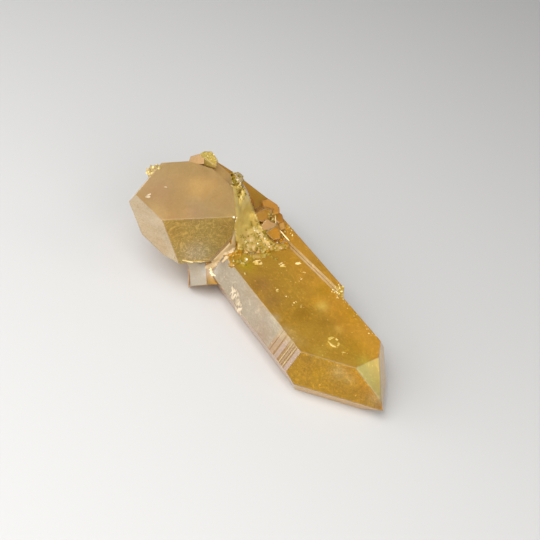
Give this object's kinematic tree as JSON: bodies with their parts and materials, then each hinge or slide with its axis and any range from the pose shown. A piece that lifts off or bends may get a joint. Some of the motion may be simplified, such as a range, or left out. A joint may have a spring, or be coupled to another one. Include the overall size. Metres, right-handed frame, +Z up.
{
  "type": "aura quartz cluster",
  "caption": "Golden aura-coated quartz cluster: a long flat point lying on its side face, a short thick doubly ended crystal across its root, knobs and a crust of tiny points between them.",
  "frame": {"origin": "middle of the bounding box, on the flat that the cluster stands on", "axes": "+X along the long point towards its tip, +Z up from the side face that the long point lies on"},
  "size_m": [0.0874, 0.0452, 0.0349],
  "materials": {
    "aura_quartz": "hazy golden see-through quartz under a thin metal coat, flat glossy natural faces with fine growth lines"
  },
  "bodies": {
    "root": {"quartz_cluster": "aura_quartz"}
  },
  "joints": []
}
